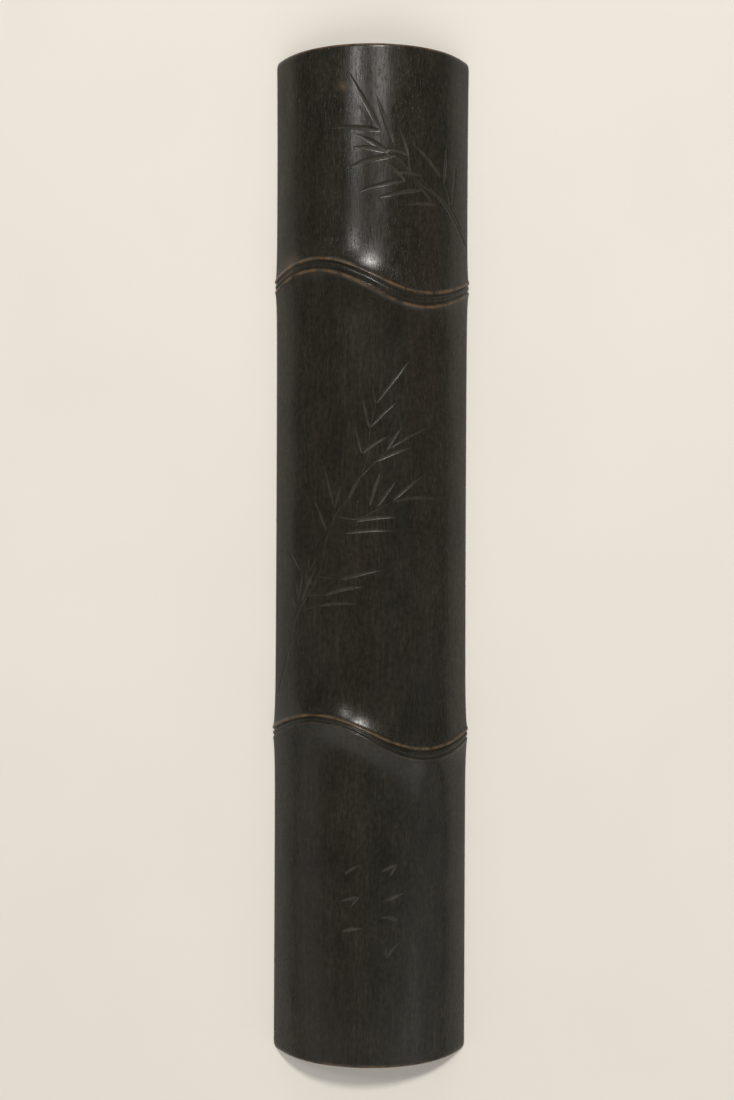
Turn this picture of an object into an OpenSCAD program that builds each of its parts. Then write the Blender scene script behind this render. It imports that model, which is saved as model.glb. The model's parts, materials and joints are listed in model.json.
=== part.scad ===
// Calligrapher's wrist rest, carved from one board of dark hardwood as a split length of bamboo.
// It lies on its two long feet with the arch up. X is its width, Y its length, Z up.
// The origin is at the middle of the resting plane.

/* [Overall] */
// Length from end face to end face
rest_l = 285; // [255:5:315]
// Width across the two long edges
rest_w = 55; // [50:1:60]
// Height of the arch between the nodes
arch_h = 16; // [14:0.5:18]

/* [Hollow] */
// Wall thickness at the crown
wall_t = 5; // [4:0.5:6]
// Width of each long foot
foot_w = 3.5; // [3:0.5:5]

/* [Bamboo nodes] */
// Place of the upper node along the length
upper_node_y = 77; // [65:0.5:85]
// Place of the lower node along the length
lower_node_y = -51; // [-65:0.5:-40]
// Height of the wave that each node line makes across the arch
wave_h = 4.9; // [2:0.1:6]
// How far the upper node swells above the bamboo beside it, at the crown
upper_swell_h = 1.7; // [0.5:0.1:2.5]
// How far the lower node swells above the bamboo beside it, at the crown
lower_swell_h = 2.1; // [0.5:0.1:2.5]
// Part of the swelling that is lost at the long edges
swell_fade = 0.78; // [0:0.02:0.9]
// Distance along the length over which the upper swelling dies away
upper_spread = 3.6; // [3:0.2:8]
// Distance along the length over which the lower swelling dies away
lower_spread = 4.2; // [3:0.2:8]
// Distance between the two cut lines of the upper node
upper_pitch = 1.8; // [1.2:0.1:2.4]
// Distance between the two cut lines of the lower node
lower_pitch = 1.4; // [1.2:0.1:2.4]
// Depth of the cut lines
line_d = 0.4; // [0.2:0.05:0.6]

/* [Long edges and ends] */
// How far the middle length of bamboo draws in between its nodes
waist_d = 0.1; // [0:0.1:0.6]
// How far the upper end flares out
flare_d = 0.2; // [0:0.1:0.5]
// Corner radius seen from above
corner_r = 2.5; // [1.5:0.5:4]
// Rounding of the rim at each end
rim_r = 0.8; // [0.4:0.1:1.2]

/* [Hidden] */

half_l = rest_l / 2;
half_w = rest_w / 2;

// Circle of the outer arch through both long edges and the crown
outer_r = (half_w * half_w + arch_h * arch_h) / (2 * arch_h);
outer_z = arch_h - outer_r;

// Circle of the hollow through the inner edges of the feet and the inner crown
hollow_h = arch_h - wall_t;
hollow_half_w = half_w - foot_w;
hollow_r = (hollow_half_w * hollow_half_w + hollow_h * hollow_h) / (2 * hollow_h);
hollow_z = hollow_h - hollow_r;
hollow_overrun = 2;

// Facets across the arch, and rings along it
arc_steps = 32;
corner_steps = 6;
swell_steps = 7;
swell_reach = 24;
plain_step = 13;
flare_l = 40;

// How closely the rounding of a corner keeps to the long edge
corner_power = 6;

// Half length of the rounded top of a swelling
swell_flat = 1.5;

// Each node as [place, swelling, its spread, distance between cut lines, sag of its wave at the crown]
upper_node = [upper_node_y, upper_swell_h, upper_spread, upper_pitch, -1];
lower_node = [lower_node_y, lower_swell_h, lower_spread, lower_pitch, 0.8];

// Second, smaller wave that steepens the line where it crosses the crown
wave_skew = 0.07;

// The wave is whole within this distance of a node, and has gone at swell_reach
wave_full = 8;

// Cut lines and their ridges: a cosine with ridges at -pitch, 0 and pitch
function line_cut(s, pitch) = abs(s) < pitch ? line_d * (1 - cos(360 * s / pitch)) / 2 : 0;

// Height of one node above the plain arch, at distance s along the length and t across it
function swelling(s, t, h, spread) =
    h * (1 - swell_fade * t * t) * exp((swell_flat - sqrt(s * s + swell_flat * swell_flat)) / spread);
function node_height(y, t, n) = swelling(y - n[0], t, n[1], n[2]) - line_cut(y - n[0], n[3]);

// Draw-in between the nodes and flare at the upper end
function waist(y) =
    let (u = (y - lower_node_y) / (upper_node_y - lower_node_y))
    u > 0 && u < 1 ? waist_d * 4 * u * (1 - u) : 0;
function flare(y) = flare_d * pow(max(0, (y - half_l + flare_l) / flare_l), 2);

// Rounding at the ends, at distance e from the end face
function drawn_in(e, r) = e < r ? r - sqrt(r * r - (r - e) * (r - e)) : 0;

// Outward shift of the outer surface for the ring at y, at t across it
function shift(y, t) =
    node_height(y, t, upper_node) + node_height(y, t, lower_node)
    - waist(y) + flare(y) - drawn_in(half_l - abs(y), rim_r);

// The rings bend with the node's wave near a node and straighten away from it
function smooth(u) = let (v = min(1, max(0, u))) v * v * (3 - 2 * v);
function bend(y, node_y) = 1 - smooth((abs(y - node_y) - wave_full) / (swell_reach - wave_full));
function wave(t, sag) =
    -wave_h * (sin(180 * t) + wave_skew * sin(360 * t)) + sag * (1 + cos(180 * t)) / 2;
function y_shift(y, t) =
    wave(t, upper_node[4]) * bend(y, upper_node_y) + wave(t, lower_node[4]) * bend(y, lower_node_y);

// One point of the outer surface, for t from -1 at the left foot to 1 at the right foot
function surface_point(y, t) =
    let (r = outer_r + shift(y, t))
    let (edge_r = outer_r + shift(y, 1))
    let (edge_angle = acos(-outer_z / edge_r))
    let (edge_x = edge_r * sin(edge_angle))
    let (arc_x = r * sin(t * edge_angle))
    let (corner_in = drawn_in(half_l - abs(y), corner_r) * pow(abs(arc_x) / edge_x, corner_power))
    abs(t) == 1
        ? [sign(t) * (edge_x - corner_in), y, 0]
        : [arc_x - sign(t) * corner_in, y + y_shift(y, t), outer_z + r * cos(t * edge_angle)];

// Ring places from one end to the other
function node_rings(node_y, pitch) = concat(
    [for (i = [swell_steps:-1:1]) node_y - pitch - (swell_reach - pitch) * pow(i / swell_steps, 1.6)],
    [for (i = [-4:4]) node_y + pitch * i / 4],
    [for (i = [1:swell_steps]) node_y + pitch + (swell_reach - pitch) * pow(i / swell_steps, 1.6)]);
function plain_rings(from, to) =
    let (count = ceil((to - from) / plain_step))
    [for (i = [1:count - 1]) from + (to - from) * i / count];
function end_rings() = [for (i = [0:corner_steps]) half_l - corner_r * (1 - cos(90 * i / corner_steps))];

rings = concat(
    [for (i = [0:corner_steps]) -end_rings()[i]],
    plain_rings(-half_l + corner_r, lower_node_y - swell_reach),
    node_rings(lower_node_y, lower_pitch),
    plain_rings(lower_node_y + swell_reach, upper_node_y - swell_reach),
    node_rings(upper_node_y, upper_pitch),
    plain_rings(upper_node_y + swell_reach, half_l - corner_r),
    [for (i = [corner_steps:-1:0]) end_rings()[i]]);

// Solid arch before it is hollowed: rings of points joined by triangles, flat below and at both ends
module solid_arch() {
    row = arc_steps + 1;
    last = len(rings) - 1;
    points = [for (y = rings) for (i = [0:arc_steps]) surface_point(y, 2 * i / arc_steps - 1)];
    side_faces = [for (j = [0:last - 1]) for (i = [0:arc_steps - 1]) for (half = [0, 1])
        let (a = j * row + i)
        half == 0 ? [a, a + row, a + 1] : [a + 1, a + row, a + row + 1]];
    bottom_faces = [for (j = [0:last - 1]) let (a = j * row) [a, a + arc_steps, a + row + arc_steps, a + row]];
    near_end = [for (i = [0:arc_steps]) i];
    far_end = [for (i = [arc_steps:-1:0]) last * row + i];
    polyhedron(points, concat(side_faces, bottom_faces, [near_end, far_end]), convexity = 4);
}

// Round hollow that runs the whole length under the arch
module hollow() {
    translate([0, 0, hollow_z])
        rotate([90, 0, 0])
            cylinder(h = rest_l + 2 * hollow_overrun, r = hollow_r, center = true, $fn = 180);
}

module wrist_rest() {
    color([0.17, 0.15, 0.13])
        difference() {
            solid_arch();
            hollow();
        }
}

wrist_rest();
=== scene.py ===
"""A calligrapher's wrist rest, carved from dark hardwood as a split length of bamboo.

It lies on its two long feet on a pale floor and is seen from straight above. X is its width, Y its length,
Z up. Sizes of the rest are in millimetres, and MM turns them into metres. Floor and lights are in metres.
"""
import json
import math

import bmesh
import bpy
import numpy as np
from mathutils import Matrix, Vector


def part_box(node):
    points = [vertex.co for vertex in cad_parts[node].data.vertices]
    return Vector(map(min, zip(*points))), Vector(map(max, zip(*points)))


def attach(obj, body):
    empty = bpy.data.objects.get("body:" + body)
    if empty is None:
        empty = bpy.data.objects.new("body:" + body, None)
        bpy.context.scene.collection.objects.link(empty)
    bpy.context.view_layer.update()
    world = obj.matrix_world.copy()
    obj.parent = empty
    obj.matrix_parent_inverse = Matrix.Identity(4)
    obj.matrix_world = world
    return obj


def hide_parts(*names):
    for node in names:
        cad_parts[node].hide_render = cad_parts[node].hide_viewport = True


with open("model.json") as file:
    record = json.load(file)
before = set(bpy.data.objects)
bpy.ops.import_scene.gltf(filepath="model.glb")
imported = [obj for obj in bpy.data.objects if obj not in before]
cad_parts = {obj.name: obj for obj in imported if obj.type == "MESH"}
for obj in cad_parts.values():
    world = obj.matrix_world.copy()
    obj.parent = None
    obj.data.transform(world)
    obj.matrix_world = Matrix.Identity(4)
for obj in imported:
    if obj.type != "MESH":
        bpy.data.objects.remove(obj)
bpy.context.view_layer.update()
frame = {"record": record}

MM = 0.001
TINY = 1e-6
FAR_AWAY = 1e9

# ---------------------------------------------------------------- shape, in millimetres
MOUNT = {m["name"]: m for m in frame["record"]["mounts"]}

ARCH_H = 16.0           # height of the arch between the nodes
WALL_T = 5.0            # wall thickness at the crown
FOOT_W = 3.5            # width of each long foot
HALF_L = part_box("wrist_rest")[1].y / MM
HALF_W = MOUNT["right_foot"]["pos_m"][0] / MM + FOOT_W / 2
CORNER_R = 2.5          # corner radius seen from above
CORNER_POWER = 6        # how closely a corner's rounding keeps to the long edge
RIM_R = 0.8             # rounding of the outer rim at each end
INNER_RIM_R = 0.6       # rounding of the hollow's rim at each end
WAIST_D = 0.1           # draw-in of the middle length of bamboo
FLARE_D = 0.2           # how far the upper end flares out, over FLARE_L
FLARE_L = 40.0
WAVE_H = 4.9            # height of the wave that each node line makes
WAVE_SKEW = 0.07        # second, smaller wave that steepens the line at the crown
WAVE_FULL = 8.0         # the wave is whole this far from a node, and has gone at WAVE_END
WAVE_END = 24.0
SWELL_FADE = 0.78       # share of a node's swelling lost at the long edges
SWELL_FLAT = 1.5        # half length of its rounded top

# circle of the outer arch, and circle of the hollow
OUTER_R = (HALF_W ** 2 + ARCH_H ** 2) / (2 * ARCH_H)
OUTER_Z = ARCH_H - OUTER_R
HALF_ARC = OUTER_R * math.asin(HALF_W / OUTER_R)
HOLLOW_H = ARCH_H - WALL_T
HOLLOW_HALF_W = HALF_W - FOOT_W
HOLLOW_R = (HOLLOW_HALF_W ** 2 + HOLLOW_H ** 2) / (2 * HOLLOW_H)
HOLLOW_Z = HOLLOW_H - HOLLOW_R
HOLLOW_HALF_ARC = HOLLOW_R * math.asin(HOLLOW_HALF_W / HOLLOW_R)

# The two bamboo nodes.
# swell, spread: height of the swelling, and how slowly it dies away. sag: shift of the wave at the crown.
# pitch: distance between the two cut lines. widen: share by which it grows halfway to the right edge, and at
# the crown. depths, lips: depths of the two lines and heights of the lips outside them, the upper one first.
# The lower swelling is 0.15 mm fuller than the CAD's, which puts its bright spot where the photo has it.
BAMBOO_NODES = (
    {"y": 77.0, "swell": 1.7, "spread": 3.6, "sag": -1.0, "pitch": 1.80, "widen": (0.10, 0.12),
     "depths": (0.42, 0.40), "lips": (0.22, 0.16), "seed": 477},
    {"y": -51.0, "swell": 2.25, "spread": 4.2, "sag": 0.8, "pitch": 1.40, "widen": (0.26, -0.08),
     "depths": (0.46, 0.34), "lips": (0.24, 0.05), "seed": 349},
)
LINE_HALF_W = 0.42      # half width of a cut line
LINE_UNEVEN_W = 0.12    # share by which its width varies
LINE_UNEVEN_D = 0.15    # share by which its depth varies
LINE_SCALES = (22, 22)
LIP_SPREAD = 0.50       # the lip outside a cut line dies away over this distance
LIP_WORN_H = 0.16       # a lip of this height or more is fully worn
LIP_WORN_POWER = 1.5    # how closely the wear keeps to the top of the lip

# What the hand tools leave. Scales are the sizes across and along of an unevenness.
HAND_D = 0.035          # unevenness of the outside
HAND_SCALES = (16, 45)
HAND_SEED = 7
PLAIN_EDGE = 2.0        # carving and unevenness fade in over this distance from the long edges
GOUGE_D = 0.07          # depth of the gouge marks in the hollow
GOUGE_PITCH = 5.2       # distance between them
GOUGE_DRIFT = 1.6       # how far they wander sideways
GOUGE_DRIFT_SCALES = (200, 90)
GOUGE_DRIFT_SEED = 21
GOUGE_UNEVEN_D = 0.5    # share by which their depth varies
GOUGE_SCALES = (12, 60)
GOUGE_SEED = 22
PLAIN_HOLLOW = 3.0      # they fade in over this distance from the feet and the ends
NOISE_WAVES = 6


def smooth(u):
    """A soft step from 0 to 1."""
    v = np.clip(u, 0.0, 1.0)
    return v * v * (3 - 2 * v)


def drawn_in(e, r):
    """How far a rounding of radius r draws the surface in, at distance e from the end face."""
    inside = np.clip(r - e, 0.0, r)
    return r - np.sqrt(r * r - inside * inside)


def wave(a, sag):
    """The wave of a node line along the length, for a from -1 at the left foot to 1 at the right foot."""
    side_to_side = np.sin(np.pi * a) + WAVE_SKEW * np.sin(2 * np.pi * a)
    return -WAVE_H * side_to_side + sag * (1 + np.cos(np.pi * a)) / 2


def y_shift(a, y):
    """How far the waves carry the ring at y along: fully at a node, not at all away from it."""
    total = np.zeros_like(y)
    for node in BAMBOO_NODES:
        away = (np.abs(y - node["y"]) - WAVE_FULL) / (WAVE_END - WAVE_FULL)
        total += wave(a, node["sag"]) * (1 - smooth(away))
    return total


def soft_noise(s, y, scales, seed):
    """Slow, seeded waves with values near -1 to 1, for what a hand tool leaves uneven."""
    rng = np.random.default_rng(seed)
    total = np.zeros_like(s)
    for _ in range(NOISE_WAVES):
        ks, ky = rng.normal(0, 1, 2) / np.array(scales)
        total += np.sin(2 * np.pi * (ks * s + ky * y) + rng.uniform(0, 2 * np.pi))
    return total / NOISE_WAVES ** 0.5


def node_height(t, a, node, s, y):
    """Height over the plain arch at distance t from a node, and how worn the wood is there."""
    reach = np.sqrt(t * t + SWELL_FLAT ** 2) - SWELL_FLAT
    height = node["swell"] * (1 - SWELL_FADE * a * a) * np.exp(-reach / node["spread"])
    worn = np.zeros_like(t)
    uneven = soft_noise(s, y, LINE_SCALES, node["seed"])
    right, crown = node["widen"]
    pitch = node["pitch"] * (1 + right * np.sin(np.pi * a) + crown * np.cos(np.pi * a))
    for side, depth, lip in zip((1, -1), node["depths"], node["lips"]):
        from_line = np.abs(t - side * pitch / 2)
        cut = np.clip(1 - from_line / (LINE_HALF_W * (1 + LINE_UNEVEN_W * uneven)), 0, 1)
        height = height - depth * (1 + LINE_UNEVEN_D * uneven) * smooth(cut)
        from_lip = np.abs(t - side * pitch)
        bead = np.exp(-(from_lip / LIP_SPREAD) ** 2)
        height = height + lip * bead
        worn = np.maximum(worn, bead ** LIP_WORN_POWER * min(1.0, lip / LIP_WORN_H))
    return height, worn


def waist(y):
    """Draw-in between the two nodes."""
    low, high = sorted(node["y"] for node in BAMBOO_NODES)
    u = np.clip((y - low) / (high - low), 0, 1)
    return WAIST_D * 4 * u * (1 - u)


def flare(y):
    """Widening towards the upper end."""
    return FLARE_D * (np.clip(y - HALF_L + FLARE_L, 0, None) / FLARE_L) ** 2


def unroll(a, y):
    """Where a point of the outer surface lies when the arch is laid flat: across, along."""
    return a * HALF_ARC, y + y_shift(a, y)


def outer_surface(a, y):
    """Points of the outer surface, how worn each is, and how dull it is from a carved cut, which also sets
    the cut's pale fill of dust and painted light.
    """
    s, y_flat = unroll(a, y)
    to_end = HALF_L - np.abs(y)
    shift = flare(y) - waist(y) - drawn_in(to_end, RIM_R)
    edge_shift = shift.copy()
    worn = np.zeros_like(a)
    for node in BAMBOO_NODES:
        height, node_worn = node_height(y - node["y"], a, node, s, y_flat)
        edge_height, _ = node_height(y - node["y"], np.sign(a), node, s, y_flat)
        shift = shift + height
        edge_shift = edge_shift + edge_height
        worn = np.maximum(worn, node_worn)
    edge_r = OUTER_R + edge_shift
    edge_angle = np.arccos(-OUTER_Z / edge_r)
    edge_x = edge_r * np.sin(edge_angle)
    inland = smooth((1 - np.abs(a)) * HALF_ARC / PLAIN_EDGE)
    cut, dull = carving(s, y_flat)
    hand = HAND_D * soft_noise(s, y_flat, HAND_SCALES, HAND_SEED) * inland
    r = OUTER_R + shift + hand - cut * inland
    x = r * np.sin(a * edge_angle)
    z = OUTER_Z + r * np.cos(a * edge_angle)
    x = x - np.sign(a) * drawn_in(to_end, CORNER_R) * (np.abs(x) / edge_x) ** CORNER_POWER
    z = np.where(np.abs(a) > 1 - TINY, 0.0, z)
    return np.stack([x, y_flat, z], 1), worn, dull * inland


def hollow_surface(a, y):
    """Points of the hollow: a round trough with faint long gouge marks."""
    s = a * HOLLOW_HALF_ARC
    to_foot = HOLLOW_HALF_ARC - np.abs(s)
    to_end = HALF_L - np.abs(y)
    inland = smooth(to_foot / PLAIN_HOLLOW) * smooth(to_end / PLAIN_HOLLOW)
    drift = GOUGE_DRIFT * soft_noise(s, y, GOUGE_DRIFT_SCALES, GOUGE_DRIFT_SEED)
    depth = GOUGE_D * (1 + GOUGE_UNEVEN_D * soft_noise(s, y, GOUGE_SCALES, GOUGE_SEED))
    gouge = depth * np.abs(np.sin(np.pi * (s + drift) / GOUGE_PITCH))
    plain_r = HOLLOW_R + drawn_in(to_end, INNER_RIM_R)
    r = plain_r - gouge * inland
    angle = a * np.arccos(-HOLLOW_Z / plain_r)
    x = r * np.sin(angle)
    z = np.where(np.abs(a) > 1 - TINY, 0.0, HOLLOW_Z + r * np.cos(angle))
    return np.stack([x, y, z], 1)


# ---------------------------------------------------------------- carved sprigs, in millimetres
LEAF_HALF_W = 0.55
LEAF_W_RANGE = (0.8, 1.15)  # each range holds the shares between which a leaf's value is drawn
LEAF_SHORT_W = 0.55     # width share of a leaf: this and LEAF_W_GROWTH for each mm of its length, up to 1
LEAF_W_GROWTH = 0.05
LEAF_BEND = 0.040       # how far a level leaf droops, for its length
LEAF_BEND_RANGE = (0.6, 1.6)
LEAF_DEEPER = 0.5       # how far a leaf's deepest line lies towards its lower side, for its half width
LEAF_DEEPER_RANGE = (0.5, 1.3)
LEAF_DULL_RANGE = (0.45, 1.0)
LEAF_POWER = 0.55       # a leaf's outline is u ** LEAF_POWER * (1 - u), and widest at LEAF_WIDEST
LEAF_WIDEST = 0.355
LEAF_SEED = 31
MIN_CUT_W = 0.02        # a leaf's cut ends where it is narrower than this
STEM_D = 0.32           # depth of a stem for its half width
STEM_TAPER = 0.5        # share of its width that a stem loses towards its tip
STEM_DULL = 0.45        # a stem is less dull than a leaf
TWIG_W = 0.7            # width of a twig for that of its sprig's stem
CURVE_STEPS = 6         # points of a stem's curve for each of its spans
DULL_DEPTH = 0.06       # a carved cut is fully dull below this depth
TIP_TO_EDGE = 1.0       # leaf tips keep this far from the long edges
LEAF_MARGIN = 1.5       # a leaf reaches no further than this outside the circle around its two ends
STEM_MARGIN = 1.0       # a stem reaches no further than this outside the box around its points

# Each sprig: half width of its stem, depth of a leaf cut for its half width, dullness of its leaves, its
# stem and twigs as lines of points, and its leaves as fans that spring from one point.
# A fan is (x, y, ((direction in degrees, length), ...)).
# A sprig's dull also sets how pale its cuts are painted: dust in them, and painted light on their facets.
TOP_SPRIG = {
    "stem_half_w": 0.62,
    "leaf_slope": 0.46,
    "dull": 1.0,
    "stems": (
        ((27.3, 87.5), (25, 92), (22.3, 96.5), (18.5, 101), (14, 103.5), (10.5, 107), (9.8, 111.5)),
        ((22.3, 96.5), (21.8, 101), (20, 105.5)),
        ((25.6, 92.5), (21.4, 99), (16.6, 102.6), (12.6, 106.4)),
        ((10.5, 107), (7, 110.5), (3.2, 112.5), (2.2, 118)),
    ),
    "fans": (
        (2.2, 118, ((119, 19), (175, 14.5))),
        (5.6, 115, ((111, 14),)),
        (4.4, 112.2, ((152, 11), (173, 10.5))),
        (6.6, 111.3, ((194.5, 14.5),)),
        (9.9, 111.6, ((110, 8), (169, 7))),
        (14, 106.2, ((177, 9.5),)),
        (9.0, 104.4, ((139, 8), (195, 13.5))),
        (13.5, 102.2, ((193, 12),)),
        (18.0, 98.6, ((186, 9.5),)),
        (16.5, 99.5, ((136, 6.5),)),
        (19.3, 106.6, ((135, 12.5),)),
        (20.2, 105, ((86, 12),)),
        (22.6, 99.2, ((84, 13),)),
    ),
}
MIDDLE_SPRIG = {
    "stem_half_w": 0.38,
    "leaf_slope": 0.25,
    "dull": 0.85,
    "stems": (
        ((-27.3, -43.5), (-25.6, -36), (-23.6, -28), (-21.4, -18), (-18, -11.5), (-14.5, -5), (-12.4, 5),
         (-9.5, 12), (-5.5, 17), (-3, 22), (-1, 28), (-0.4, 35.5), (1.2, 42.3)),
        ((-9.5, 11), (-4, 10.3), (1, 12.6), (5.6, 15)),
        ((-3, 22), (0.5, 25.6), (4.8, 29.8)),
        ((-21, -16.2), (-15, -14.3)),
        ((-18, -11.5), (-13, -11)),
        ((-15, -6), (-9, -6.6)),
    ),
    "fans": (
        (1.2, 42.3, ((52, 18), (103, 5))),
        (-0.6, 35.5, ((43, 12), (104, 9.5))),
        (4.8, 29.8, ((27, 14),)),
        (4.2, 29.4, ((57, 8),)),
        (1.2, 26.2, ((21, 12),)),
        (-2.6, 28.4, ((33, 9.5), (105, 9))),
        (-10.2, 13, ((106, 16.5), (76, 7.5))),
        (-12.5, 6.7, ((113, 11),)),
        (-0.5, 13.8, ((72, 11),)),
        (1.6, 13.6, ((54, 10),)),
        (5.7, 15, ((39, 12.5), (2, 14.5))),
        (-4.2, 9.6, ((4, 12.5),)),
        (-7.4, 6.2, ((2, 15),)),
        (-6.4, 15.6, ((63, 8),)),
        (-9, -6.8, ((13, 14),)),
        (-13, -11.2, ((13, 12.5),)),
        (-15, -14.3, ((4, 11.5),)),
        (-20.2, -4.4, ((121, 8),)),
        (-21.3, -15.6, ((112, 5),)),
        (-19.6, -13.2, ((67, 12),)),
        (-20.6, -12.6, ((80, 8.5), (101, 6.5))),
        (-17.4, -4.6, ((62, 5), (96, 4))),
        (-16.2, -9.4, ((74, 4.5), (112, 4))),
        (-18.6, -9.0, ((58, 4), (88, 5.5))),
    ),
}
# Small drifting leaves on the lowest length of bamboo
DRIFT_LEAVES = {
    "stem_half_w": 0.0,
    "leaf_slope": 0.32,
    "dull": 1.0,
    "stems": (),
    "fans": (
        (7.5, -86, ((205, 5.5), (240, 4))),
        (4.5, -96, ((20, 6),)),
        (8, -101.5, ((170, 5.5),)),
        (4.5, -112, ((48, 6), (85, 4))),
        (-7, -88.5, ((30, 5.5),)),
        (-3, -95, ((195, 6), (230, 4))),
        (-7.5, -104.5, ((8, 6),)),
    ),
}


def flat_x(x):
    """Distance across the surface laid flat, from the distance seen from above."""
    return OUTER_R * math.asin(x / OUTER_R)


def smooth_line(points):
    """Points along a smooth curve through the given ones."""
    p = np.array([points[0], *points, points[-1]], float)
    line = []
    for i in range(1, len(p) - 2):
        for u in np.linspace(0, 1, CURVE_STEPS, endpoint=False):
            line.append(0.5 * (2 * p[i] + (p[i + 1] - p[i - 1]) * u
                               + (2 * p[i - 1] - 5 * p[i] + 4 * p[i + 1] - p[i + 2]) * u * u
                               + (3 * p[i] - p[i - 1] - 3 * p[i + 1] + p[i + 2]) * u ** 3))
    line.append(p[-2])
    return np.array(line)


def make_leaf(x, y, angle, length, sprig, rng):
    """One leaf that springs from x, y, laid flat."""
    way = math.radians(angle)
    reach = HALF_W - TIP_TO_EDGE
    tip_x = np.clip(x + length * math.cos(way), -reach, reach)
    width_share = min(1.0, LEAF_SHORT_W + LEAF_W_GROWTH * length)
    return {
        "base": np.array([flat_x(x), y]),
        "tip": np.array([flat_x(tip_x), y + length * math.sin(way)]),
        "half_w": LEAF_HALF_W * rng.uniform(*LEAF_W_RANGE) * width_share,
        "bow": LEAF_BEND * math.cos(way) * rng.uniform(*LEAF_BEND_RANGE),
        "lean": -LEAF_DEEPER * math.copysign(rng.uniform(*LEAF_DEEPER_RANGE), math.cos(way)),
        "slope": sprig["leaf_slope"],
        "dull": sprig["dull"] * rng.uniform(*LEAF_DULL_RANGE),
    }


def make_strokes():
    """The leaves and stems of all the carving, laid flat."""
    rng = np.random.default_rng(LEAF_SEED)
    leaves, stems = [], []
    for sprig in (TOP_SPRIG, MIDDLE_SPRIG, DRIFT_LEAVES):
        for line in sprig["stems"]:
            half_w = sprig["stem_half_w"] * (1.0 if line is sprig["stems"][0] else TWIG_W)
            stems.append((smooth_line([(flat_x(x), y) for x, y in line]), half_w))
        for x, y, fan in sprig["fans"]:
            for angle, length in fan:
                leaves.append(make_leaf(x, y, angle, length, sprig, rng))
    return leaves, stems


LEAVES, STEMS = make_strokes()


def leaf_cut(leaf, s, y):
    """Depth of one leaf's cut, and how far outside it each point is."""
    along = leaf["tip"] - leaf["base"]
    length = float(np.hypot(*along))
    along = along / length
    u = ((s - leaf["base"][0]) * along[0] + (y - leaf["base"][1]) * along[1]) / length
    v = (y - leaf["base"][1]) * along[0] - (s - leaf["base"][0]) * along[1]
    inside = np.clip(u, 0, 1)
    v = v - leaf["bow"] * length * 4 * inside * (1 - inside)
    widest = LEAF_WIDEST ** LEAF_POWER * (1 - LEAF_WIDEST)
    half_w = leaf["half_w"] / widest * inside ** LEAF_POWER * (1 - inside)
    beyond = np.maximum(np.abs(u - 0.5) - 0.5, 0) * length
    valley = leaf["lean"] * half_w
    reach = np.where(v > valley, half_w - valley, half_w + valley)
    q = np.abs(v - valley) / np.maximum(reach, TINY)
    on_leaf = (beyond <= 0) & (half_w > MIN_CUT_W)
    depth = np.where(on_leaf, np.clip(1 - q, 0, 1) * half_w * leaf["slope"], 0.0)
    outside = np.hypot(np.maximum(np.abs(v) - half_w, 0), beyond)
    return depth, outside


def stem_distance(line, s, y):
    """Distance from each point to a stem's line, and how far along the line it is, from 0 to 1."""
    best = np.full(s.shape, FAR_AWAY)
    place = np.zeros(s.shape)
    for i in range(len(line) - 1):
        p, d = line[i], line[i + 1] - line[i]
        u = np.clip(((s - p[0]) * d[0] + (y - p[1]) * d[1]) / (d @ d), 0, 1)
        away = np.hypot(s - p[0] - u * d[0], y - p[1] - u * d[1])
        place = np.where(away < best, (i + u) / (len(line) - 1), place)
        best = np.minimum(best, away)
    return best, place


def stem_cut(stem, s, y):
    """Depth of one stem's cut, and how far outside it each point is."""
    line, half_w = stem
    away, place = stem_distance(line, s, y)
    half_w = half_w * (1 - STEM_TAPER * place)
    return STEM_D * half_w * smooth(1 - away / half_w), np.maximum(away - half_w, 0)


def near_leaf(leaf, s, y):
    """Which points may lie on a leaf."""
    middle = (leaf["base"] + leaf["tip"]) / 2
    length = np.hypot(*(leaf["tip"] - leaf["base"]))
    return np.hypot(s - middle[0], y - middle[1]) < length / 2 + LEAF_MARGIN


def near_stem(stem, s, y):
    """Which points may lie on a stem."""
    low, high = stem[0].min(0) - STEM_MARGIN, stem[0].max(0) + STEM_MARGIN
    return (s > low[0]) & (s < high[0]) & (y > low[1]) & (y < high[1])


def carving(s, y):
    """Depth of all the carving at each point, and how dull it is there."""
    depth = np.zeros(s.shape)
    dull = np.zeros(s.shape)
    strokes = [(near_leaf, leaf_cut, leaf, leaf["dull"]) for leaf in LEAVES]
    strokes += [(near_stem, stem_cut, stem, STEM_DULL) for stem in STEMS]
    for near_stroke, stroke_cut, stroke, dullness in strokes:
        near = near_stroke(stroke, s, y)
        if near.any():
            cut, _ = stroke_cut(stroke, s[near], y[near])
            depth[near] = np.maximum(depth[near], cut)
            dull[near] = np.maximum(dull[near], dullness * np.clip(cut / DULL_DEPTH, 0, 1))
    return depth, dull


def carving_distance(s, y):
    """Distance from each point to the nearest cut."""
    best = np.full(s.shape, FAR_AWAY)
    for leaf in LEAVES:
        best = np.minimum(best, leaf_cut(leaf, s, y)[1])
    for stem in STEMS:
        best = np.minimum(best, stem_cut(stem, s, y)[1])
    return best


# ---------------------------------------------------------------- mesh, in millimetres
ACROSS_STEP = 1.2       # size of the plain mesh cells
ALONG_STEP = 1.6
STEP_GROWTH = 1.25      # how fast the rings spread out away from a node line
LINE_STEP = 0.17        # ring spacing over the node lines
LINE_REACH = 3.2        # distance from a node over which the rings are that close
RIM_ROWS = 7            # rings over the rounding of an end rim
EDGE_ROWS = (0.0, 0.18, 0.4, 0.7, 1.15, 1.8)    # distances from a long edge
WALL_LINES = (0, 0.06, 0.16, 0.5, 0.84, 0.94, 1.0)  # places through the wall, from 0 outside to 1 inside
FINE = ((1.3, 0.7), (0.8, 0.35), (0.45, 0.2))   # (distance from a cut, largest cell there)
SOFT_REACH = 0.9        # the edges are softened this far in
SOFT_ROUNDS = 4
RIM_WEAR_AT = 0.3       # the wear of an end rim is greatest this far from its edge
RIM_WEAR_W = 0.45       # and fades over this distance
EDGE_WEAR = 0.6         # wear of the long edges, which dies away over EDGE_WEAR_W
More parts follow.
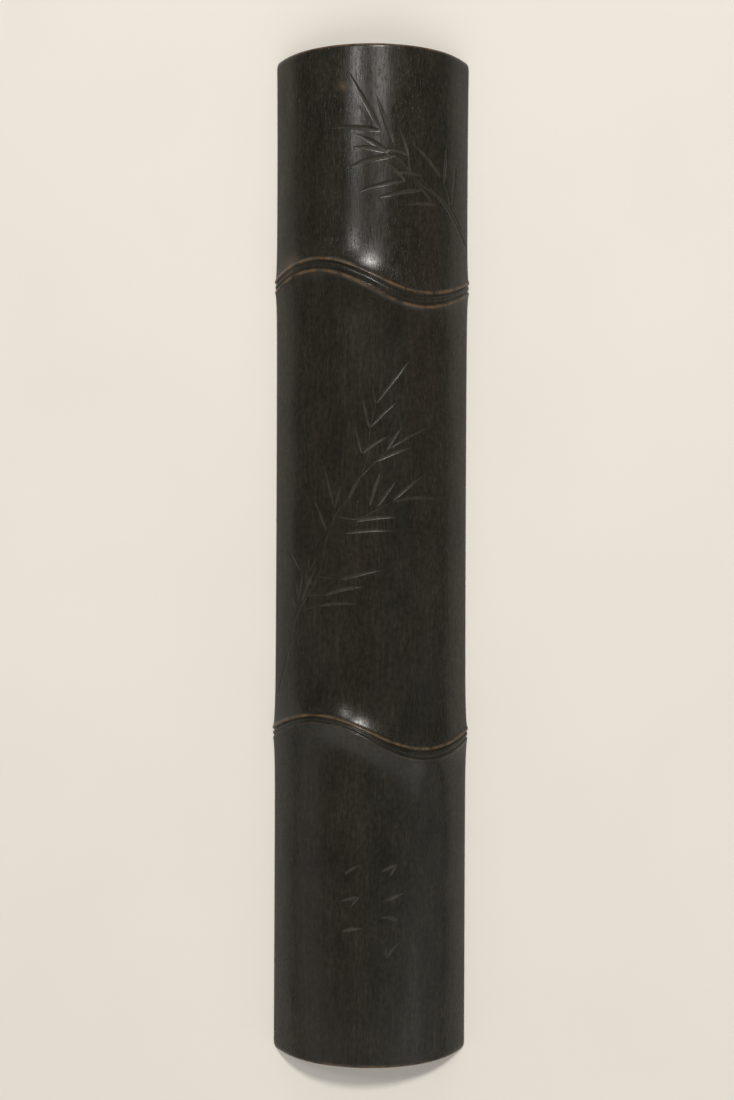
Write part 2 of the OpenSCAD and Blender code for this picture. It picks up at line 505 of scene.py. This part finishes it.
EDGE_WEAR_W = 0.7


def across_lines():
    """Places across the arch, from -1 to 1, closer together beside the feet."""
    count = round((HALF_ARC - EDGE_ROWS[-1]) / ACROSS_STEP)
    inner = np.linspace(0, HALF_ARC - EDGE_ROWS[-1], count + 1)
    right = np.concatenate([inner, HALF_ARC - np.array(EDGE_ROWS[-2::-1])]) / HALF_ARC
    return np.concatenate([-right[:0:-1], right])


def along_lines():
    """Places along the length: close over the node lines and the end rims, and growing wider between."""
    rims = RIM_R * (1 - np.cos(np.linspace(0, np.pi / 2, RIM_ROWS)))
    places = [HALF_L - rims, -HALF_L + rims]
    for node in BAMBOO_NODES:
        places.append(node["y"] + np.arange(-LINE_REACH, LINE_REACH + TINY, LINE_STEP))
    stops = sorted([-HALF_L + RIM_R, HALF_L - RIM_R]
                   + [node["y"] + side * LINE_REACH for node in BAMBOO_NODES for side in (-1, 1)])
    for low, high in zip(stops[::2], stops[1::2]):
        y, step, left = low, LINE_STEP, []
        while y < (low + high) / 2:
            left.append(y)
            y += step
            step = min(step * STEP_GROWTH, ALONG_STEP)
        left = np.array(left[1:])
        left = low + (left - low) * ((high - low) / 2) / (y - low)
        places += [left, [(low + high) / 2], low + high - left]
    return np.unique(np.round(np.concatenate(places), 4))


def shell_lattice():
    """The closed skin of a flat box with the lattice lines on it.

    Its points hold (across, along, through the wall).
    """
    a, y, w = across_lines(), along_lines(), WALL_LINES
    ids = np.full((len(a), len(y), len(w)), -1)
    points, faces = [], []

    def vertex(i, j, k):
        if ids[i, j, k] < 0:
            ids[i, j, k] = len(points)
            points.append((a[i] * HALF_ARC, y[j], -w[k] * WALL_T))
        return int(ids[i, j, k])

    def side(rows, columns, corner):
        for p in range(rows):
            for q in range(columns):
                around = ((p, q), (p + 1, q), (p + 1, q + 1), (p, q + 1))
                faces.append([vertex(*corner(*here)) for here in around])

    last_i, last_j, last_k = len(a) - 1, len(y) - 1, len(w) - 1
    side(last_i, last_j, lambda p, q: (p, q, 0))
    side(last_j, last_i, lambda p, q: (q, p, last_k))
    side(last_j, last_k, lambda p, q: (0, p, q))
    side(last_k, last_j, lambda p, q: (last_i, q, p))
    side(last_k, last_i, lambda p, q: (q, 0, p))
    side(last_i, last_k, lambda p, q: (p, last_j, q))
    return points, faces


def refine(bm):
    """Splits the cells of the outer side near the carving, in steps."""
    for distance, largest in FINE:
        bm.faces.ensure_lookup_table()
        outer = [f for f in bm.faces if all(v.co.z > -TINY for v in f.verts)]
        centre = np.array([f.calc_center_median()[:2] for f in outer])
        low = np.array([[min(v.co[k] for v in f.verts) for k in (0, 1)] for f in outer])
        high = np.array([[max(v.co[k] for v in f.verts) for k in (0, 1)] for f in outer])
        size = (high - low).max(1)
        s, y = unroll(centre[:, 0] / HALF_ARC, centre[:, 1])
        near = carving_distance(s, y) < distance + size / 2
        inland = np.abs(centre[:, 0]) < HALF_ARC - EDGE_ROWS[-1]
        chosen = near & inland & (size > largest)
        bm.edges.index_update()
        edges = {e for f, take in zip(outer, chosen) if take for e in f.edges}
        edges = sorted(edges, key=lambda e: e.index)
        bmesh.ops.subdivide_edges(bm, edges=edges, cuts=1, use_grid_fill=True)


def read_points(mesh):
    """The mesh's points as rows of an array."""
    co = np.zeros(len(mesh.vertices) * 3)
    mesh.vertices.foreach_get("co", co)
    return co.reshape(-1, 3)


def soften_edges(mesh, place):
    """Rounds the long edges and rims by drawing each point there towards its neighbours."""
    pairs = np.zeros(len(mesh.edges) * 2, int)
    mesh.edges.foreach_get("vertices", pairs)
    pairs = pairs.reshape(-1, 2)
    co = read_points(mesh)
    to_foot = HALF_ARC - np.abs(place[:, 0])
    to_end = HALF_L - np.abs(place[:, 1])
    to_skin = np.minimum(-place[:, 2], WALL_T + place[:, 2])
    second_gap = np.sort(np.stack([to_foot, to_end, to_skin], 1), 1)[:, 1]
    free = second_gap < SOFT_REACH
    for _ in range(SOFT_ROUNDS):
        total = np.zeros_like(co)
        count = np.zeros(len(co))
        for here, there in ((0, 1), (1, 0)):
            np.add.at(total, pairs[:, here], co[pairs[:, there]])
            np.add.at(count, pairs[:, here], 1)
        mean = total / count[:, None]
        co[free] = (co[free] + mean[free]) / 2
    mesh.vertices.foreach_set("co", co.ravel())


def store(mesh, name, values):
    """Keeps one value for each point of the mesh, for the material to read."""
    layer = mesh.attributes.new(name, "FLOAT", "POINT")
    layer.data.foreach_set("value", values.astype(np.float32))


def wear(place, worn):
    """How worn the wood is at each point: the node ridges, the end rims and the long edges."""
    to_end = HALF_L - np.abs(place[:, 1])
    to_foot = HALF_ARC - np.abs(place[:, 0])
    through = -place[:, 2]
    rim = np.exp(-((np.hypot(to_end, through) - RIM_WEAR_AT) / RIM_WEAR_W) ** 2)
    edge = EDGE_WEAR * np.exp(-(np.hypot(to_foot, through) / EDGE_WEAR_W) ** 2)
    return np.clip(np.maximum(np.maximum(worn, rim), edge), 0, 1)


def wrist_rest():
    """The carved rest as one closed mesh."""
    points, faces = shell_lattice()
    mesh = bpy.data.meshes.new("carved_wrist_rest")
    mesh.from_pydata(points, [], faces)
    bm = bmesh.new()
    bm.from_mesh(mesh)
    refine(bm)
    bmesh.ops.recalc_face_normals(bm, faces=bm.faces)
    bm.to_mesh(mesh)
    bm.free()
    place = read_points(mesh)
    a, y, w = place[:, 0] / HALF_ARC, place[:, 1], -place[:, 2] / WALL_T
    outer, worn, cut = outer_surface(a, y)
    hollow = hollow_surface(a, y)
    co = outer * (1 - w[:, None]) + hollow * w[:, None]
    mesh.vertices.foreach_set("co", (co * MM).ravel())
    soften_edges(mesh, place)
    outside = w < TINY
    store(mesh, "wear", wear(place, np.where(outside, worn, 0.0)))
    store(mesh, "cut", np.where(outside, cut, 0.0))
    for polygon in mesh.polygons:
        polygon.use_smooth = True
    mesh.update()
    obj = bpy.data.objects.new("carved_wrist_rest", mesh)
    bpy.context.scene.collection.objects.link(obj)
    return obj


# ---------------------------------------------------------------- material
BLACK_WOOD = (0.0154, 0.0144, 0.0106, 1)
RED_WOOD = (0.0184, 0.0149, 0.0106, 1)
PALE_FIBRE = (0.0300, 0.0268, 0.0190, 1)
WORN_WOOD = (0.1150, 0.0640, 0.0260, 1)
OLD_WOOD = (0.0850, 0.0600, 0.0360, 1)
# pale fill of the carved cuts: dust in them, and painted light on their facets
CUT_DUST_AND_LIGHT = (0.0450, 0.0410, 0.0300, 1)
SPECK = (0.1300, 0.1150, 0.0850, 1)
FLOOR_DARKER = (0.735, 0.715, 0.66, 1)
FLOOR_PALER = (0.755, 0.735, 0.68, 1)

# Each noise: size of its features across and along the grain in millimetres, detail, seed
NOISES = {
    "bands": (13, 240, 3, 1.0),
    "streaks": (0.8, 14, 5, 2.0),
    "fibres": (0.25, 3.4, 4, 3.0),
    "pores": (0.17, 1.9, 2, 4.0),
    "wear_patches": (2.6, 3.0, 5, 5.0),
    "scuffs": (1.6, 2.6, 5, 6.0),
    "haze": (5, 11, 5, 7.0),
    "floor_tint": (60, 60, 4, 8.0),
    "clouds": (7, 16, 4, 9.0),
    "dust_and_lit_facets": (2.2, 3.0, 4, 10.0),
    "mottle": (1.0, 1.5, 3, 11.0),
    "specks": (0.7, 0.8, 2, 12.0),
    "browns": (3.5, 5.0, 4, 13.0),
}
NOISE_LOW = 0.3         # most values of a noise lie between these two
NOISE_HIGH = 0.7

# Brown patches, place and reach in millimetres: a spot worn through the dark finish, and a painted highlight
BROWN_SPOT_AND_HIGHLIGHT = (
    # worn through the dark finish near the top end
    ((-8.3, 130.5, 14.9), 2.2),
    # painted highlight on the left flank, just above the upper node
    ((-23.0, 82.0, 6.5), 4.5),
)
BROWN_PATCH_SHARE = 0.65
CUT_ROUGHNESS = 0.34    # how much rougher a fully dull cut is
PORE_ROUGHNESS = 0.13
FIBRE_ROUGHNESS = 0.06
FIBRE_RELIEF = 0.5
STREAK_RELIEF = 0.5
PORE_RELIEF = 0.9
RELIEF_STRENGTH = 0.45
RELIEF_D = 0.06 * MM
WOOD_SHEEN = 0.24
FLOOR_ROUGHNESS = 0.9
FLOOR_SHEEN = 0.1


class Shading:
    """A material, with short calls for building its shader nodes."""

    def __init__(self, name):
        self.material = bpy.data.materials.new(name)
        self.material.use_nodes = True
        self.tree = self.material.node_tree
        self.shader = self.tree.nodes["Principled BSDF"]

    def fill(self, socket, value):
        """Links another node's output to a socket, or sets a plain value."""
        if isinstance(value, bpy.types.NodeSocket):
            self.tree.links.new(value, socket)
        else:
            socket.default_value = value

    def surface(self, socket, value):
        """Gives the material's own shader a value."""
        self.fill(self.shader.inputs[socket], value)

    def add(self, kind, values=(), **settings):
        """A new shader node with its settings, and values or links for its sockets."""
        node = self.tree.nodes.new(kind)
        for key, value in settings.items():
            setattr(node, key, value)
        for key, value in dict(values).items():
            self.fill(node.inputs[key], value)
        return node

    def math(self, operation, first, second):
        return self.add("ShaderNodeMath", {0: first, 1: second}, operation=operation).outputs[0]

    def times(self, first, second):
        return self.math("MULTIPLY", first, second)

    def plus(self, first, second):
        return self.math("ADD", first, second)

    def mix(self, factor, first, second, blend="MIX"):
        """A blend of two colours. Sockets 0, 6 and 7 are the factor and the two colours."""
        return self.add("ShaderNodeMix", {0: factor, 6: first, 7: second},
                        data_type="RGBA", blend_type=blend).outputs[2]

    def attribute(self, name):
        return self.add("ShaderNodeAttribute", attribute_name=name).outputs["Fac"]

    def place(self):
        return self.add("ShaderNodeTexCoord").outputs["Object"]

    def noise(self, name):
        """One of the NOISES, from 0 to 1."""
        across, along, detail, seed = NOISES[name]
        scale = (1 / (across * MM), 1 / (along * MM), 1 / (across * MM))
        start = (seed, seed * 2, seed)
        mapped = self.add("ShaderNodeMapping", {"Vector": self.place(), "Scale": scale, "Location": start})
        return self.add("ShaderNodeTexNoise", {"Vector": mapped.outputs[0], "Scale": 1.0,
                                               "Detail": detail}).outputs["Fac"]

    def span(self, value, low, high, to_low=0.0, to_high=1.0):
        """Value mapped from low..high to the new range, and held there."""
        return self.add("ShaderNodeMapRange", {"Value": value, "From Min": low, "From Max": high,
                                               "To Min": to_low, "To Max": to_high}).outputs[0]

    def swing(self, noise, to_low=0.0, to_high=1.0):
        """A noise spread over the whole of the new range."""
        return self.span(noise, NOISE_LOW, NOISE_HIGH, to_low, to_high)

    def spot(self, centre, reach):
        """BROWN_PATCH_SHARE at a place of the object, fading to 0 at the reach. Both are in millimetres."""
        centre = [c * MM for c in centre]
        away = self.add("ShaderNodeVectorMath", {0: self.place(), 1: centre}, operation="DISTANCE")
        return self.span(away.outputs["Value"], 0.0, reach * MM, BROWN_PATCH_SHARE, 0.0)


def wood_colour(n, streaks, fibres, pores):
    """Near-black wood with reddish bands, pale streaks, darker pores and soft clouds."""
    bands = n.span(n.noise("bands"), 0.40, 0.64)
    colour = n.mix(bands, BLACK_WOOD, RED_WOOD)
    colour = n.mix(n.span(streaks, 0.50, 0.80, 0.0, 0.6), colour, PALE_FIBRE)
    shade = n.times(n.swing(fibres, 0.84, 1.14), n.swing(n.noise("clouds"), 0.76, 1.26))
    shade = n.times(shade, n.span(pores, 0, 1, 1.0, 0.75))
    shade = n.times(shade, n.swing(n.noise("mottle"), 0.74, 1.28))
    tone = n.add("ShaderNodeCombineColor", {0: shade, 1: shade, 2: shade}).outputs[0]
    return n.mix(1.0, colour, tone, "MULTIPLY")


def brown_wear_and_highlight(n):
    """Share of brown wood: in patches on ridges and rims, in small scuffs, at a worn brown spot, and in a
    brown painted highlight above the upper node.
    """
    patches = n.span(n.noise("wear_patches"), 0.27, 0.60)
    worn = n.span(n.times(n.attribute("wear"), patches), 0.10, 0.80)
    worn = n.math("MAXIMUM", worn, n.span(n.noise("scuffs"), 0.735, 0.80, 0.0, 0.22))
    # the brown patches: a worn spot, and a painted highlight
    for place, reach in BROWN_SPOT_AND_HIGHLIGHT:
        worn = n.math("MAXIMUM", worn, n.times(n.spot(place, reach), patches))
    return worn


def wood_roughness(n, cut, fibres, pores):
    """A waxed haze that changes slowly, rougher in the pores and in the carved cuts."""
    rough = n.swing(n.noise("haze"), 0.18, 0.27)
    rough = n.plus(rough, n.times(pores, PORE_ROUGHNESS))
    rough = n.plus(rough, n.swing(fibres, -FIBRE_ROUGHNESS, FIBRE_ROUGHNESS))
    return n.plus(rough, n.times(cut, CUT_ROUGHNESS))


def wood_relief(n, streaks, fibres, pores):
    """The fine relief of the grain, with sunken pores."""
    relief = n.plus(n.times(fibres, FIBRE_RELIEF), n.times(streaks, STREAK_RELIEF))
    relief = n.math("SUBTRACT", relief, n.times(pores, PORE_RELIEF))
    return n.add("ShaderNodeBump", {"Height": relief, "Strength": RELIEF_STRENGTH,
                                    "Distance": RELIEF_D}).outputs[0]


def dark_wood():
    """Near-black waxed hardwood: long grain, open pores, worn golden brown on ridges and rims."""
    n = Shading("dark_waxed_wood")
    streaks = n.noise("streaks")
    fibres = n.noise("fibres")
    pores = n.span(n.noise("pores"), 0.30, 0.39, 1.0, 0.0)
    cut = n.attribute("cut")

    colour = wood_colour(n, streaks, fibres, pores)
    # The carved cuts are painted paler: dust in them, and painted light on their facets.
    dust_and_lit_facets = n.times(cut, n.span(n.noise("dust_and_lit_facets"), 0.32, 0.62, 0.15, 0.80))
    colour = n.mix(dust_and_lit_facets, colour, CUT_DUST_AND_LIGHT)
    brown = n.mix(n.span(n.noise("browns"), 0.40, 0.60), WORN_WOOD, OLD_WOOD)
    colour = n.mix(brown_wear_and_highlight(n), colour, brown)
    specks = n.span(n.noise("specks"), 0.765, 0.79, 0.0, 0.6)
    colour = n.mix(specks, colour, SPECK)

    n.surface("Base Color", colour)
    n.surface("Roughness", wood_roughness(n, cut, fibres, pores))
    n.surface("Normal", wood_relief(n, streaks, fibres, pores))
    n.surface("Specular IOR Level", WOOD_SHEEN)
    return n.material


def pale_floor_material():
    """A matt, warm white floor."""
    n = Shading("pale_floor")
    n.surface("Base Color", n.mix(n.swing(n.noise("floor_tint")), FLOOR_DARKER, FLOOR_PALER))
    n.surface("Roughness", FLOOR_ROUGHNESS)
    n.surface("Specular IOR Level", FLOOR_SHEEN)
    return n.material


# ---------------------------------------------------------------- floor, light, camera, in metres
FLOOR_HALF = 4.0
FLOOR_CELLS = 8
FLOOR_DROP = 0.00003    # keeps the floor just clear of the feet
WARM_LIGHT = (1.0, 0.97, 0.93)
SKY_COLOUR = (1.0, 0.96, 0.90, 1)
SKY_GLOW = 0.17
CAMERA_LENS = 50
CAMERA_CLIP = 0.01
CAMERA_PLACE = (-1.15 * MM, 1.6 * MM, 440 * MM)
CAMERA_ROLL = math.radians(0.24)


def floor():
    """A wide, flat sheet under the feet."""
    mesh = bpy.data.meshes.new("pale_floor")
    bm = bmesh.new()
    bmesh.ops.create_grid(bm, x_segments=FLOOR_CELLS, y_segments=FLOOR_CELLS, size=FLOOR_HALF)
    bm.to_mesh(mesh)
    bm.free()
    mesh.materials.append(pale_floor_material())
    obj = bpy.data.objects.new("pale_floor", mesh)
    obj.location.z = -FLOOR_DROP
    bpy.context.scene.collection.objects.link(obj)


def area_light(name, lean_x, lean_y, distance, size, glow):
    """A soft panel that faces the object and glows evenly.

    The leans tip its direction from straight above towards +X and +Y, in degrees.
    """
    data = bpy.data.lights.new(name, "AREA")
    data.shape = "RECTANGLE"
    data.size, data.size_y = size
    data.energy = glow * math.pi * size[0] * size[1]
    data.color = WARM_LIGHT
    way = Vector((math.tan(math.radians(lean_x)), math.tan(math.radians(lean_y)), 1)).normalized()
    turn = way.to_track_quat("Z", "Y").to_matrix().to_4x4()
    obj = bpy.data.objects.new(name, data)
    obj.matrix_world = Matrix.Translation(way * distance) @ turn
    bpy.context.scene.collection.objects.link(obj)


def lights():
    """A small key and a weak strip for the bright spots, and wide panels for the soft light around."""
    area_light("key", lean_x=7, lean_y=30, distance=1.5, size=(0.17, 0.17), glow=140)
    area_light("strip", lean_x=-16, lean_y=24, distance=1.5, size=(0.28, 0.12), glow=25)
    area_light("far_panel", lean_x=0, lean_y=68, distance=2.4, size=(2.4, 1.3), glow=0.9)
    area_light("near_panel", lean_x=4, lean_y=-43, distance=1.8, size=(4.0, 1.2), glow=1.2)
    area_light("near_left", lean_x=-66, lean_y=-50, distance=2.0, size=(1.6, 1.0), glow=0.55)
    area_light("near_right", lean_x=66, lean_y=-50, distance=2.0, size=(1.6, 1.0), glow=0.50)
    world = bpy.data.worlds.new("studio")
    world.use_nodes = True
    background = world.node_tree.nodes["Background"]
    background.inputs["Color"].default_value = SKY_COLOUR
    background.inputs["Strength"].default_value = SKY_GLOW
    bpy.context.scene.world = world


def camera():
    """Straight above, a little off the middle and slightly turned, as in the photo."""
    data = bpy.data.cameras.new("camera")
    data.lens = CAMERA_LENS
    data.clip_start = CAMERA_CLIP
    obj = bpy.data.objects.new("camera", data)
    obj.location = CAMERA_PLACE
    obj.rotation_euler = (0, 0, CAMERA_ROLL)
    bpy.context.scene.collection.objects.link(obj)
    bpy.context.scene.camera = obj


# ---------------------------------------------------------------- build
rest = wrist_rest()
rest.data.materials.append(dark_wood())
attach(rest, "root")
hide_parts("wrist_rest")
floor()
lights()
camera()
bpy.context.scene.view_settings.view_transform = "Standard"
